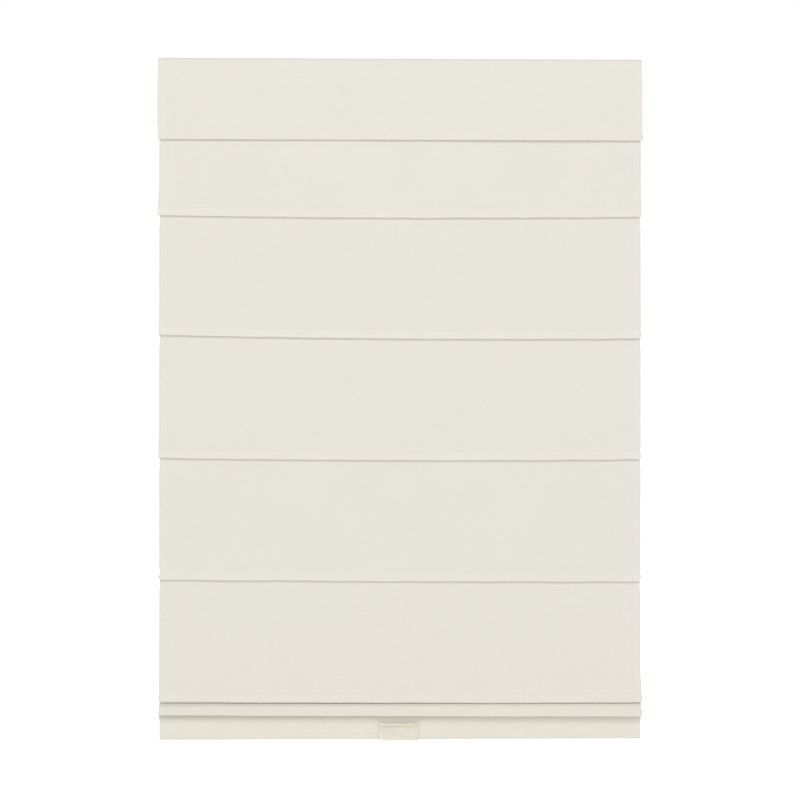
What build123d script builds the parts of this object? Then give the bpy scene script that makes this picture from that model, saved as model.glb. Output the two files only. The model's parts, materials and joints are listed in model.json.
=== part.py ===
from build123d import *
from math import asin, atan2, degrees, hypot
import os

# Cordless roman blind, 800 mm wide, hanging in its wall brackets. Millimetres.
# +X runs to the right seen from the room, +Y points into the wall, +Z is up.
# The origin is the centre of the four wall screw holes, on the wall's face.
# The blind is drawn lowered. Raising it lifts every rib towards the headrail.

os.makedirs("parts", exist_ok=True)

# ---- driving dimensions: the cloth ----
blind_width = 800.0          # face cloth, side hem to side hem
cloth = 0.9                  # face cloth thickness
side_hem = 12.0              # cloth turned back along each side
valance_overhang = 3.0       # valance past the face cloth, each side
valance_top = 19.0           # height of the valance's top edge
valance_drop = 135.5
valance_hem = 20.0
first_fold_drop = 264.0      # valance top to the first fold's lower edge
fold_pitch = 202.0
fold_count = 5
fold_lap = 13.0              # each fold hangs this far below its rib line
loop_r = 2.0                 # middle of the cloth, at the lower turn of a fold
turn_r = 1.0                 # middle of the cloth, at the upper turn of a fold
bend_r = 10.0                # middle of the cloth, where it leaves the headrail
step_drop = 24.5             # fifth fold to the small fold below it
step_loop_r = 1.2            # middle of the cloth, at the small fold's lower turn
step_lap = 7.0               # height of the small fold's hidden strip
step_clear = 3.0             # fifth fold to the bend of the small fold below it
step_reach = 8.0             # height over which that bend comes forward
step_bend_r = 4.0
hem_show = 37.5              # bottom hem seen below the small fold
hem_end_gap = 16.0           # side hems stop this far from each fold
hem_bite = 0.05              # side hems pressed into the panel that they are sewn to
valance_turn_r = 0.6         # middle of the cloth, at the valance's lower edge

# ---- driving dimensions: headrail and brackets ----
rail_inset = 2.0             # headrail's ends inside the cloth's sides, caps apart
rail_depth = 50.0
rail_height = 36.3
rail_wall = 1.2
rail_lip = 6.0
rail_gap = 3.0               # wall face to the headrail's back
rail_bottom = -20.0
rail_bend = 0.96             # outer radius of the channel's corners
cap_plate = 2.0
cap_plug = 10.0
cap_wall = 1.5
cap_corner_r = 1.5
bracket_inset = 55.0         # bracket's middle from the cloth's side
bracket_width = 30.0
bracket_sheet = 1.5
bracket_height = 36.0
wall_hole_spacing = 16.0
ceiling_hole_spacing = 14.0
screw_hole_r = 2.5
hook_reach = 4.5
snap_gap = 0.3
tab_width = 10.0
tab_slack = 1.0              # window round the tab it is lanced from
tab_root = 0.1               # tab's root, run into the flange it is part of
tape_height = 20.0
tape_thickness = 1.2
tape_margin = 1.0            # top of the headrail to the top of the strips
tape_inset = 4.0             # strips stop this far short of each end
tape_clear = 2.0             # foot of the strips to the cloth's first bend

# ---- driving dimensions: lift mechanism ----
cord_r = 0.7
cord_inset = 130.0           # lift cord from the cloth's side
spool_r = 9.5
spool_flange_r = 13.0
spool_core_length = 12.0
spool_flange = 1.5
hub_r = 5.0
hub_length = 4.0
shaft_side = 5.0             # square lift shaft
shaft_z = -2.0
bearing_gap = 0.06
shaft_gap = 0.05             # each side of the shaft in its square bores
cradle_wall = 2.0
cradle_base = 1.6
cradle_margin = 0.5          # cradle beyond the spool's flanges, front and back
cradle_rim = 4.0             # material over the hub's bearing
spool_side_gap = 0.5
shaft_clip_length = 4.0
guide_wall = 1.1
guide_hole_r = 1.5
guide_flange_r = 4.5
guide_flange = 1.2
motor_inner_length = 30.0
motor_wall = 1.6
strip_width = 25.0           # power spring
strip_thickness = 0.6
output_core_r = 7.0
output_flange_r = 10.0
output_coil_r = 9.3
storage_core_r = 5.5
storage_flange_r = 8.7
storage_coil_r = 6.6
drum_spacing = 19.0
drum_flange = 1.2
coil_gap = 0.2
axle_r = 1.5
drum_clear = 0.6             # drum flanges to the motor case
case_slack = 0.4             # motor case to the channel's back wall
drum_side_gap = 0.5
hub_show = 1.0               # output hubs stand out past the case
storage_hub_r = 3.0
boss = 5.0                   # square boss for each cover screw
boss_height = 3.0
motor_screw_r = 1.2
screw_gap = 0.02
cover_corner_r = 1.5

# ---- driving dimensions: ribs, bottom bar and handle ----
rod_r = 2.0
rod_inset = 4.0              # rods stop this far short of the cloth's sides
pocket_cloth = 0.5
pocket_inset = 7.0
pocket_window = 10.0         # gap in a pocket where an eye grips the rod
pocket_seam_gap = 1.0        # rib line to the pocket's sewn edge
rod_tip_length = 8.0
rod_tip_wall = 0.8
rod_tip_show = 3.0           # tips stand out past the cloth's sides
pocket_drop = 6.0            # rib line to the rod's axis
eye_length = 8.0
eye_height = 8.0
eye_clip_wall = 1.6
eye_grip = 0.4               # clip's mouth in front of the rod's axis, in rod radii
eye_neck_width = 6.0
eye_neck_height = 4.0
eye_hole_r = 1.5
eye_wall = 1.7
eye_reach = 7.15             # cord to the rod's axis
bar_height = 40.0
bar_depth = 6.0
bar_wall = 1.2
bar_inset = 6.0              # bar's ends inside the cloth's sides
bar_cap_plate = 1.5
bar_cap_plug = 6.0
hem_lap = 6.0                # bottom hem's back layer above the bar
seam_height = 3.0            # sewn strip at the top of that layer
seam_gap = 0.1
seam_r = 1.5
anchor_width = 13.0
anchor_depth = 6.0
anchor_height = 16.0
anchor_corner_r = 0.8
anchor_cord_gap = 0.1
anchor_screw_r = 1.5
anchor_screw_head_r = 3.0
anchor_screw_offset = 6.0    # cord to the screw beside it
knot_r = 1.8
handle_width = 65.0
handle_offset = -3.0
handle_height = 29.5
handle_back = 18.0
handle_wall = 1.6
handle_lip = 5.5
handle_lip_depth = 4.0
handle_edge = 0.5
soft_gap = 0.3               # soft parts to their neighbours
part_gap = 0.2               # plastic clipped over its neighbour

# ---- places worked out from the driving dimensions ----
rail_back = -rail_gap
rail_front = rail_back - rail_depth
rail_length = blind_width - 2 * rail_inset
rail_top = rail_bottom + rail_height
rail_floor = rail_bottom + rail_wall
cloth_top_y = rail_front - 2 * tape_thickness - cloth / 2
case_y1 = rail_back - rail_wall - case_slack
storage_y = case_y1 - motor_wall - drum_clear - storage_flange_r
shaft_y = storage_y - drum_spacing
cord_y = shaft_y - spool_r - soft_gap - cord_r
rod_y = cord_y - eye_reach
pocket_r = rod_r + part_gap + pocket_cloth
panel_y = rod_y - pocket_r - soft_gap - cloth / 2
strip_y = panel_y - 2 * turn_r
fold_y = strip_y - 2 * loop_r
fold_z = [valance_top - first_fold_drop - i * fold_pitch for i in range(fold_count)]
step_z = fold_z[-1] - step_drop
hem_z = step_z - hem_show
rib_line = [z + fold_lap for z in fold_z]
rod_z = [z - pocket_drop for z in rib_line]
bar_length = blind_width - 2 * bar_inset
bar_z = hem_z + cloth + soft_gap
bar_y = panel_y + cloth / 2 + soft_gap + bar_depth / 2
cord_x = blind_width / 2 - cord_inset
cord_sides = {"left": -cord_x, "right": cord_x}
bracket_x = blind_width / 2 - bracket_inset
bracket_sides = {"left": -bracket_x, "right": bracket_x}


def save(piece, name):
    """Label a finished piece and write its STEP file."""
    piece.part.label = name
    export_step(piece.part, f"parts/{name}.step")


def across(width, centre=0.0):
    """Sketch plane whose x is +Y and y is +Z, at the left side of a width along X."""
    return Plane(origin=(centre - width / 2, 0, 0), x_dir=(0, 1, 0), z_dir=(1, 0, 0))


# ======================= headrail =======================
# A white roll-formed channel, open at the top, with two inward lips.
# Cord holes and the brackets' reach keep clear of the mechanism on its floor.
with BuildPart() as headrail:
    with BuildSketch(across(rail_length)):
        with BuildLine():
            Polyline(
                (rail_front, rail_bottom),
                (rail_back, rail_bottom),
                (rail_back, rail_top),
                (rail_back - rail_lip, rail_top),
                (rail_back - rail_lip, rail_top - rail_wall),
                (rail_back - rail_wall, rail_top - rail_wall),
                (rail_back - rail_wall, rail_floor),
                (rail_front + rail_wall, rail_floor),
                (rail_front + rail_wall, rail_top - rail_wall),
                (rail_front + rail_lip, rail_top - rail_wall),
                (rail_front + rail_lip, rail_top),
                (rail_front, rail_top),
                close=True,
            )
        make_face()
    extrude(amount=rail_length)
    outer_edges = (
        headrail.edges()
        .filter_by(Axis.X)
        .filter_by(lambda e: e.center().Y in (rail_front, rail_back))
    )
    fillet(outer_edges, rail_bend)
    with BuildSketch(Plane.XY.offset(rail_bottom)):
        with Locations(*[(x, cord_y) for x in cord_sides.values()]):
            Circle(guide_hole_r + guide_wall + part_gap / 2)
    extrude(amount=rail_wall, mode=Mode.SUBTRACT)
save(headrail, "headrail")

# End caps: a plate over each end and a hollow plug inside the channel.
for side, sign in (("left", -1), ("right", 1)):
    end_x = sign * rail_length / 2
    plug_x = end_x - sign * cap_plug / 2
    plug_front = rail_front + rail_wall + part_gap
    plug_back = rail_back - rail_wall - part_gap
    plug_low = rail_floor + part_gap
    plug_high = rail_top - rail_wall - part_gap
    with BuildPart() as end_cap:
        with BuildSketch(across(cap_plate, end_x + sign * cap_plate / 2)):
            with Locations(((rail_front + rail_back) / 2, rail_bottom + rail_height / 2)):
                RectangleRounded(rail_depth, rail_height, cap_corner_r)
        extrude(amount=cap_plate)
        with BuildSketch(across(cap_plug, plug_x)):
            with Locations(((plug_front + plug_back) / 2, (plug_low + plug_high) / 2)):
                Rectangle(plug_back - plug_front, plug_high - plug_low)
                Rectangle(
                    plug_back - plug_front - 2 * cap_wall,
                    plug_high - plug_low - 2 * cap_wall,
                    mode=Mode.SUBTRACT,
                )
        extrude(amount=cap_plug)
    save(end_cap, f"end_cap_{side}")

# Brackets: bent steel. The front end of the top flange turns down through the
# channel's mouth and hooks under its front lip; a lanced tab snaps under the back lip.
flange_z = rail_top + part_gap
hook_z = rail_top - rail_wall - snap_gap - bracket_sheet
front_bend = rail_front + rail_lip + snap_gap
back_bend = rail_back - rail_lip - snap_gap
for side, x in bracket_sides.items():
    with BuildPart() as bracket:
        with BuildSketch(across(bracket_width, x)):
            with BuildLine():
                Polyline(
                    (0, -bracket_height / 2),
                    (0, flange_z + bracket_sheet),
                    (front_bend, flange_z + bracket_sheet),
                    (front_bend, hook_z + bracket_sheet),
                    (front_bend - hook_reach, hook_z + bracket_sheet),
                    (front_bend - hook_reach, hook_z),
                    (front_bend + bracket_sheet, hook_z),
                    (front_bend + bracket_sheet, flange_z),
                    (-bracket_sheet, flange_z),
                    (-bracket_sheet, -bracket_height / 2),
                    close=True,
                )
            make_face()
        extrude(amount=bracket_width)
        # window the tab is lanced from
        with BuildSketch(Plane.XY.offset(flange_z)):
            with Locations((x, back_bend - bracket_sheet - hook_reach / 2)):
                Rectangle(tab_width + tab_slack, hook_reach + tab_slack / 2)
        extrude(amount=bracket_sheet, mode=Mode.SUBTRACT)
        with BuildSketch(across(tab_width, x)):
            with BuildLine():
                Polyline(
                    (back_bend, flange_z + tab_root),
                    (back_bend, hook_z + bracket_sheet),
                    (back_bend + hook_reach, hook_z + bracket_sheet),
                    (back_bend + hook_reach, hook_z),
                    (back_bend - bracket_sheet, hook_z),
                    (back_bend - bracket_sheet, flange_z + tab_root),
                    close=True,
                )
            make_face()
        extrude(amount=tab_width)
        with BuildSketch(Plane.XZ):
            with Locations(*[(x, s * wall_hole_spacing / 2) for s in (-1, 1)]):
                Circle(screw_hole_r)
        extrude(amount=bracket_sheet, mode=Mode.SUBTRACT)
        ceiling_y = (front_bend + back_bend) / 2 - hook_reach / 2
        with BuildSketch(Plane.XY.offset(flange_z)):
            with Locations(*[(x, ceiling_y + s * ceiling_hole_spacing / 2) for s in (-1, 1)]):
                Circle(screw_hole_r)
        extrude(amount=bracket_sheet, mode=Mode.SUBTRACT)
    save(bracket, f"bracket_{side}")

# Hook-and-loop strips: the hook side is glued to the headrail, the loop side is sewn
# behind the face cloth, and a second one carries the valance on the cloth's front.
tape_top = rail_top - tape_margin
tape_length = blind_width - 2 * tape_inset
for strip_name, front in (
    ("hook_strip", rail_front - tape_thickness),
    ("loop_strip", rail_front - 2 * tape_thickness),
    ("valance_strip", cloth_top_y - cloth / 2 - tape_thickness),
):
    with BuildPart() as strip:
        with BuildSketch(across(tape_length)):
            with Locations((front + tape_thickness / 2, tape_top - tape_height / 2)):
                Rectangle(tape_thickness, tape_height)
        extrude(amount=tape_length)
    save(strip, strip_name)


# ======================= cloth =======================
# The face is one length of cloth. It leaves the headrail, and at each rib it hangs
# forward in a fold: down the front, round the lower turn, up the short strip behind,
# round the upper turn at the rib line, and down again as the next panel. At the foot
# it makes one more small fold, wraps the bottom bar and is sewn shut above it.
bend_z = tape_top - tape_height - tape_clear
upper_turns = [((cloth_top_y - bend_r, bend_z), bend_r, 0)]
upper_turns += [((strip_y + turn_r, z - turn_r), turn_r, 180) for z in rib_line]
lower_turns = [(fold_y + loop_r, z + cloth / 2 + loop_r) for z in fold_z]
step_y = strip_y - 2 * step_loop_r
step_turn_z = step_z + cloth / 2 + step_loop_r
step_top_z = step_z + step_lap - turn_r
step_bend_z = fold_z[-1] - step_clear
bar_top = bar_z + bar_height
back_layer_y = bar_y + bar_depth / 2 + soft_gap + cloth / 2
hem_r = (back_layer_y - panel_y) / 2
hem_turn_z = hem_z + cloth / 2 + hem_r
seam_y = panel_y + cloth + seam_gap
seam_z = bar_top + hem_lap
anchor_screw_z = bar_top - anchor_height / 2
anchor_screw_points = [(x + anchor_screw_offset, anchor_screw_z) for x in cord_sides.values()]


def lean(start, start_r, end, end_r):
    """Degrees off the vertical of a panel, from behind one turn to the front of the next."""
    across_y, down_z = start[0] - end[0], start[1] - end[1]
    tuck = asin((start_r + end_r) / hypot(across_y, down_z))
    return degrees(atan2(across_y, down_z) + tuck)


panels = []
with BuildPart() as face_cloth:
    with BuildSketch(across(blind_width)):
        with BuildLine() as face_line:
            Line((cloth_top_y, rail_top - tape_margin), (cloth_top_y, bend_z))
            for (upper, upper_r, arrives), lower, strip_top in zip(upper_turns, lower_turns, rib_line):
                tilt = lean(upper, upper_r, lower, loop_r)
                over = CenterArc(upper, upper_r, arrives, -arrives - tilt)
                under = CenterArc(lower, loop_r, 180 - tilt, 180 + tilt)
                panels.append(Line(over @ 1, under @ 0))
                Line(under @ 1, (strip_y, strip_top - turn_r))
            over = CenterArc(upper_turns[-1][0], turn_r, 180, -180)
            FilletPolyline(
                over @ 1,
                (panel_y, step_bend_z),
                (step_y, step_bend_z - step_reach),
                (step_y, step_turn_z),
                radius=step_bend_r,
            )
            under = CenterArc((step_y + step_loop_r, step_turn_z), step_loop_r, 180, 180)
            Line(under @ 1, (strip_y, step_top_z))
            over = CenterArc((strip_y + turn_r, step_top_z), turn_r, 180, -180)
            Line(over @ 1, (panel_y, hem_turn_z))
            CenterArc((panel_y + hem_r, hem_turn_z), hem_r, 180, 180)
            FilletPolyline(
                (back_layer_y, hem_turn_z),
                (back_layer_y, bar_top + soft_gap),
                (seam_y, seam_z),
                (seam_y, seam_z + seam_height),
                radius=seam_r,
            )
        trace(face_line.line, line_width=cloth)
    extrude(amount=blind_width)
    # side hems: the cloth is turned back behind each panel along both sides
    for panel in panels:
        down = panel % 0
        behind = Vector(-down.Y, down.X) * (cloth - hem_bite)
        hem_top = panel @ 0 + down * hem_end_gap + behind
        hem_foot = panel @ 1 - down * hem_end_gap + behind
        for hem_side in (-1, 1):
            with BuildSketch(across(side_hem, hem_side * (blind_width - side_hem) / 2)):
                with BuildLine() as hem_line:
                    Line(hem_top, hem_foot)
                trace(hem_line.line, line_width=cloth)
            extrude(amount=side_hem)
    with BuildSketch(Plane.XZ.offset(-back_layer_y - cloth)):
        with Locations(*anchor_screw_points):
            Circle(anchor_screw_r + part_gap)
    extrude(amount=2 * cloth, mode=Mode.SUBTRACT)
save(face_cloth, "face_cloth")

# Valance: a flap of the same cloth over the headrail, with a hem turned up behind.
# It leans out as it falls, so that the gathered folds pass behind it.
valance_width = blind_width + 2 * valance_overhang
valance_y = cloth_top_y - cloth - tape_thickness
valance_low = valance_top - valance_drop
valance_turn_z = valance_low + cloth / 2 + valance_turn_r
hem_top_y = fold_y - cloth - soft_gap
valance_run = bend_z - valance_turn_z
valance_slope = (valance_y - hem_top_y + 2 * valance_turn_r) / (valance_run - valance_hem)
valance_turn = (valance_y - valance_slope * valance_run + valance_turn_r, valance_turn_z)
valance_bend = (valance_y - bend_r, bend_z)
valance_tilt = lean(valance_bend, bend_r, valance_turn, valance_turn_r)
with BuildPart() as valance:
    with BuildSketch(across(valance_width)):
        with BuildLine() as valance_line:
            Line((valance_y, valance_top), (valance_y, bend_z))
            over = CenterArc(valance_bend, bend_r, 0, -valance_tilt)
            under = CenterArc(valance_turn, valance_turn_r, 180 - valance_tilt, 180)
            Line(over @ 1, under @ 0)
            Line(under @ 1, under @ 1 + (under % 1) * valance_hem)
        trace(valance_line.line, line_width=cloth)
    extrude(amount=valance_width)
save(valance, "valance")

# ======================= lift mechanism =======================
# A square shaft runs through a spring motor and two cord spools. The spring is wound
# onto the output drum while the blind is lowered, and drives the shaft when it rises.


def reel(centre, core_length, core_r, flange, flange_r, hub, bearing_r):
    """Discs of a flanged reel along X, each as (centre, length, radius)."""
    discs = [(centre, core_length, core_r)]
    for sign in (-1, 1):
        discs.append((centre + sign * (core_length + flange) / 2, flange, flange_r))
        discs.append((centre + sign * (core_length / 2 + flange + hub / 2), hub, bearing_r))
    return discs


spool_end = spool_core_length / 2 + spool_flange
cradle_inner = spool_end + spool_side_gap
cradle_outer = cradle_inner + cradle_wall
hub_end = spool_end + hub_length
shaft_end = cord_x + hub_end + part_gap + shaft_clip_length
bore_side = shaft_side + 2 * shaft_gap

with BuildPart() as lift_shaft:
    with BuildSketch(across(2 * shaft_end)):
        with Locations((shaft_y, shaft_z)):
            Rectangle(shaft_side, shaft_side)
    extrude(amount=2 * shaft_end)
save(lift_shaft, "lift_shaft")

with BuildPart() as shaft_clips:
    for sign in (-1, 1):
        clip_x = sign * (shaft_end - shaft_clip_length / 2)
        with BuildSketch(across(shaft_clip_length, clip_x)):
            with Locations((shaft_y, shaft_z)):
                Circle(hub_r)
                Rectangle(bore_side, bore_side, mode=Mode.SUBTRACT)
        extrude(amount=shaft_clip_length)
save(shaft_clips, "shaft_clips")

for side, x in cord_sides.items():
    # cord spool: core, two flanges and the hubs that turn in the cradle
    with BuildPart() as cord_spool:
        for centre, length, radius in reel(
            x, spool_core_length, spool_r, spool_flange, spool_flange_r, hub_length, hub_r
        ):
            with BuildSketch(across(length, centre)):
                with Locations((shaft_y, shaft_z)):
                    Circle(radius)
                    Rectangle(bore_side, bore_side, mode=Mode.SUBTRACT)
            extrude(amount=length)
    save(cord_spool, f"cord_spool_{side}")

    # cradle: a base on the channel's floor with two bearing walls
    with BuildPart() as cradle:
        cradle_half = spool_flange_r + cradle_margin
        with BuildSketch(across(2 * cradle_outer, x)):
            with Locations((shaft_y, rail_floor + cradle_base / 2)):
                Rectangle(2 * cradle_half, cradle_base)
        extrude(amount=2 * cradle_outer)
        for sign in (-1, 1):
            wall_x = x + sign * (cradle_inner + cradle_wall / 2)
            with BuildSketch(across(cradle_wall, wall_x)):
                with BuildLine():
                    Polyline(
                        (shaft_y - cradle_half, rail_floor),
                        (shaft_y + cradle_half, rail_floor),
                        (shaft_y + cradle_half, shaft_z),
                        (shaft_y + hub_r + cradle_rim, shaft_z + hub_r + cradle_rim),
                        (shaft_y - hub_r - cradle_rim, shaft_z + hub_r + cradle_rim),
                        (shaft_y - cradle_half, shaft_z),
                        close=True,
                    )
                make_face()
                with Locations((shaft_y, shaft_z)):
                    Circle(hub_r + bearing_gap, mode=Mode.SUBTRACT)
            extrude(amount=cradle_wall)
        with BuildSketch(Plane.XY.offset(rail_floor)):
            with Locations((x, cord_y)):
                Circle(guide_hole_r + guide_wall + part_gap / 2)
        extrude(amount=cradle_base, mode=Mode.SUBTRACT)
    save(cradle, f"spool_cradle_{side}")

    # cord guide: a flanged bush up through the channel's floor and the cradle's base
    with BuildPart() as cord_guide:
        guide_low = rail_bottom - guide_flange
        guide_top = rail_floor + cradle_base
        with BuildSketch(Plane.XY.offset(guide_low)):
            with Locations((x, cord_y)):
                Circle(guide_hole_r + guide_wall)
        extrude(amount=guide_top - guide_low)
        with BuildSketch(Plane.XY.offset(guide_low)):
            with Locations((x, cord_y)):
                Circle(guide_flange_r)
        extrude(amount=guide_flange)
        with BuildSketch(Plane.XY.offset(guide_low)):
            with Locations((x, cord_y)):
                Circle(guide_hole_r)
        extrude(amount=guide_top - guide_low, mode=Mode.SUBTRACT)
    save(cord_guide, f"cord_guide_{side}")

# Spring motor: two drums in a case, in the middle of the headrail.
motor_half = motor_inner_length / 2
case_half = motor_half + motor_wall
case_y0 = shaft_y - output_flange_r - drum_clear - motor_wall
case_z0 = rail_floor
case_z1 = shaft_z + output_flange_r + drum_clear + boss_height
case_mid_y = (case_y0 + case_y1) / 2
screw_points = [
    (sx * (motor_half - boss / 2), y)
    for sx in (-1, 1)
    for y in (case_y0 + motor_wall + boss / 2, case_y1 - motor_wall - boss / 2)
]
with BuildPart() as motor_case:
    with BuildSketch(Plane.XY.offset(case_z0)):
        with Locations((0, case_mid_y)):
            Rectangle(2 * case_half, case_y1 - case_y0)
    extrude(amount=case_z1 - case_z0)
    with BuildSketch(Plane.XY.offset(case_z0 + motor_wall)):
        with Locations((0, case_mid_y)):
            Rectangle(motor_inner_length, case_y1 - case_y0 - 2 * motor_wall)
    extrude(amount=case_z1 - case_z0, mode=Mode.SUBTRACT)
    with BuildSketch(Plane.XY.offset(case_z1 - boss_height)):
        with Locations(*screw_points):
            Rectangle(boss, boss)
    extrude(amount=boss_height)
    with BuildSketch(Plane.XY.offset(case_z1 - boss_height)):
        with Locations(*screw_points):
            Circle(motor_screw_r)
    extrude(amount=boss_height, mode=Mode.SUBTRACT)
    with BuildSketch(across(2 * case_half)):
        with Locations((shaft_y, shaft_z)):
            Circle(hub_r + bearing_gap)
        with Locations((storage_y, shaft_z)):
            Circle(axle_r)
    extrude(amount=2 * case_half, mode=Mode.SUBTRACT)
save(motor_case, "motor_case")

with BuildPart() as motor_cover:
    with BuildSketch(Plane.XY.offset(case_z1)):
        with Locations((0, case_mid_y)):
            RectangleRounded(2 * case_half, case_y1 - case_y0, cover_corner_r)
        with Locations(*screw_points):
            Circle(motor_screw_r + part_gap, mode=Mode.SUBTRACT)
    extrude(amount=motor_wall)
save(motor_cover, "motor_cover")

with BuildPart() as motor_screws:
    with BuildSketch(Plane.XY.offset(case_z1 - boss_height)):
        with Locations(*screw_points):
            Circle(motor_screw_r - screw_gap)
    extrude(amount=boss_height + motor_wall)
    with BuildSketch(Plane.XY.offset(case_z1 + motor_wall)):
        with Locations(*screw_points):
            Circle(2 * motor_screw_r)
    extrude(amount=motor_screw_r)
save(motor_screws, "motor_screws")

coil_space = strip_width + 2 * coil_gap
drum_end = coil_space / 2 + drum_flange
output_hub = case_half + hub_show - drum_end
with BuildPart() as output_drum:
    for centre, length, radius in reel(
        0, coil_space, output_core_r, drum_flange, output_flange_r, output_hub, hub_r
    ):
        with BuildSketch(across(length, centre)):
            with Locations((shaft_y, shaft_z)):
                Circle(radius)
                Rectangle(bore_side, bore_side, mode=Mode.SUBTRACT)
        extrude(amount=length)
save(output_drum, "output_drum")

storage_hub = motor_half - drum_side_gap - drum_end
with BuildPart() as storage_drum:
    for centre, length, radius in reel(
        0, coil_space, storage_core_r, drum_flange, storage_flange_r, storage_hub, storage_hub_r
    ):
        with BuildSketch(across(length, centre)):
            with Locations((storage_y, shaft_z)):
                Circle(radius)
                Circle(axle_r + bearing_gap, mode=Mode.SUBTRACT)
        extrude(amount=length)
save(storage_drum, "storage_drum")

with BuildPart() as storage_axle:
    with BuildSketch(across(2 * case_half)):
        with Locations((storage_y, shaft_z)):
            Circle(axle_r)
    extrude(amount=2 * case_half)
save(storage_axle, "storage_axle")

# Power spring: its coil on each drum, and the band that runs between their tops.
band_sin = (output_coil_r - storage_coil_r) / drum_spacing
band_cos = (1 - band_sin**2) ** 0.5
band_tops = [
    (centre + radius * band_sin, shaft_z + radius * band_cos)
    for centre, radius in ((shaft_y, output_coil_r), (storage_y, storage_coil_r))
]
band_bottoms = [
    (y - strip_thickness * band_sin, z - strip_thickness * band_cos) for y, z in band_tops
]
with BuildPart() as power_spring:
    with BuildSketch(across(strip_width)):
        with Locations((shaft_y, shaft_z)):
            Circle(output_coil_r)
        with Locations((storage_y, shaft_z)):
            Circle(storage_coil_r)
        with BuildLine():
            Polyline(*band_tops, *reversed(band_bottoms), close=True)
        make_face()
        with Locations((shaft_y, shaft_z)):
            Circle(output_core_r + coil_gap, mode=Mode.SUBTRACT)
        with Locations((storage_y, shaft_z)):
            Circle(storage_core_r + coil_gap, mode=Mode.SUBTRACT)
    extrude(amount=strip_width)
save(power_spring, "power_spring")

# Lift cords: from the knot under the anchor, straight up through the eyes and the
# guide, and over the spool.
anchor_low = bar_top - anchor_height
cord_arc_r = spool_r + soft_gap + cord_r
for side, x in cord_sides.items():
    with BuildPart() as lift_cord:
        with BuildLine() as route:
            Line((x, cord_y, anchor_low - knot_r), (x, cord_y, shaft_z))
            with BuildLine(across(0, x)):
                CenterArc((shaft_y, shaft_z), cord_arc_r, 180, -180)
        with BuildSketch(Plane((x, cord_y, anchor_low - knot_r), z_dir=(0, 0, 1))):
            Circle(cord_r)
        sweep(path=route.line)
        with Locations((x, cord_y, anchor_low - knot_r)):
            Sphere(knot_r)
    save(lift_cord, f"lift_cord_{side}")
    cord_length = sum(edge.length for edge in route.edges())
    print(f"lift cord {side}: {cord_length:.1f} mm of {2 * cord_r:.1f} mm cord")

# ======================= ribs =======================
# Each pocket leaves a window for the eyes, cut from behind through its round part.
seam_depth = 2 * pocket_cloth
window_front = rod_y - pocket_r + seam_depth
window_back = rod_y + pocket_r + part_gap
window_height = 2 * (pocket_r + part_gap)
clip_mouth = rod_y - rod_r * eye_grip
rod_length = blind_width - 2 * rod_inset
pocket_length = blind_width - 2 * pocket_inset
for number, (line_z, axis_z) in enumerate(zip(rib_line, rod_z), start=1):
    with BuildPart() as rib_rod:
        with BuildSketch(across(rod_length)):
            with Locations((rod_y, axis_z)):
                Circle(rod_r)
        extrude(amount=rod_length)
    save(rib_rod, f"rib_rod_{number}")

    # tips: caps on the rod's ends, just proud of the cloth's sides
    with BuildPart() as rod_tips:
        for sign in (-1, 1):
            tip_x = sign * (blind_width / 2 + rod_tip_show - rod_tip_length / 2)
            with BuildSketch(across(rod_tip_length, tip_x)):
                with Locations((rod_y, axis_z)):
                    Circle(rod_r + rod_tip_wall)
            extrude(amount=rod_tip_length)
        fillet(rod_tips.edges().filter_by(GeomType.CIRCLE).group_by(Axis.X)[0], rod_tip_wall)
        fillet(rod_tips.edges().filter_by(GeomType.CIRCLE).group_by(Axis.X)[-1], rod_tip_wall)
        with BuildSketch(across(rod_length + 2 * part_gap)):
            with Locations((rod_y, axis_z)):
                Circle(rod_r + shaft_gap)
        extrude(amount=rod_length + 2 * part_gap, mode=Mode.SUBTRACT)
    save(rod_tips, f"rod_tips_{number}")

    # pocket: tape folded round the rod, its doubled edge sewn to the cloth's back
    with BuildPart() as rod_pocket:
        with BuildSketch(across(pocket_length)):
            with Locations((rod_y, axis_z)):
                Circle(pocket_r)
            with Locations((window_front - seam_depth / 2, (axis_z + line_z - pocket_seam_gap) / 2)):
                Rectangle(seam_depth, line_z - axis_z - pocket_seam_gap)
            with Locations((rod_y, axis_z)):
                Circle(rod_r + part_gap, mode=Mode.SUBTRACT)
        extrude(amount=pocket_length)
        with BuildSketch(Plane.XY.offset(axis_z - window_height / 2)):
            with Locations(*[(x, (window_front + window_back) / 2) for x in cord_sides.values()]):
                Rectangle(pocket_window, window_back - window_front)
        extrude(amount=window_height, mode=Mode.SUBTRACT)
    save(rod_pocket, f"rod_pocket_{number}")

    # cord eyes: clipped over the rod from behind, each with a hole for its lift cord
    with BuildPart() as cord_eyes:
        for x in cord_sides.values():
            with BuildSketch(across(eye_length, x)):
                with Locations((rod_y, axis_z)):
                    Circle(rod_r + eye_clip_wall)
            extrude(amount=eye_length)
            with BuildSketch(Plane.XY.offset(axis_z - eye_height / 2)):
                with Locations((x, cord_y)):
                    Circle(eye_hole_r + eye_wall)
            extrude(amount=eye_height)
            with BuildSketch(Plane.XY.offset(axis_z - eye_neck_height / 2)):
                with Locations((x, (rod_y + cord_y) / 2)):
                    Rectangle(eye_neck_width, cord_y - rod_y)
            extrude(amount=eye_neck_height)
        with BuildSketch(Plane.XY.offset(axis_z - eye_height / 2)):
            with Locations(*[(x, cord_y) for x in cord_sides.values()]):
                Circle(eye_hole_r)
        extrude(amount=eye_height, mode=Mode.SUBTRACT)
        with BuildSketch(across(2 * (cord_x + eye_length))):
            with Locations((rod_y, axis_z)):
                Circle(rod_r + shaft_gap)
            with Locations((clip_mouth - pocket_r, axis_z)):
                Rectangle(2 * pocket_r, 2 * eye_height)
        extrude(amount=2 * (cord_x + eye_length), mode=Mode.SUBTRACT)
    save(cord_eyes, f"cord_eyes_{number}")

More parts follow.
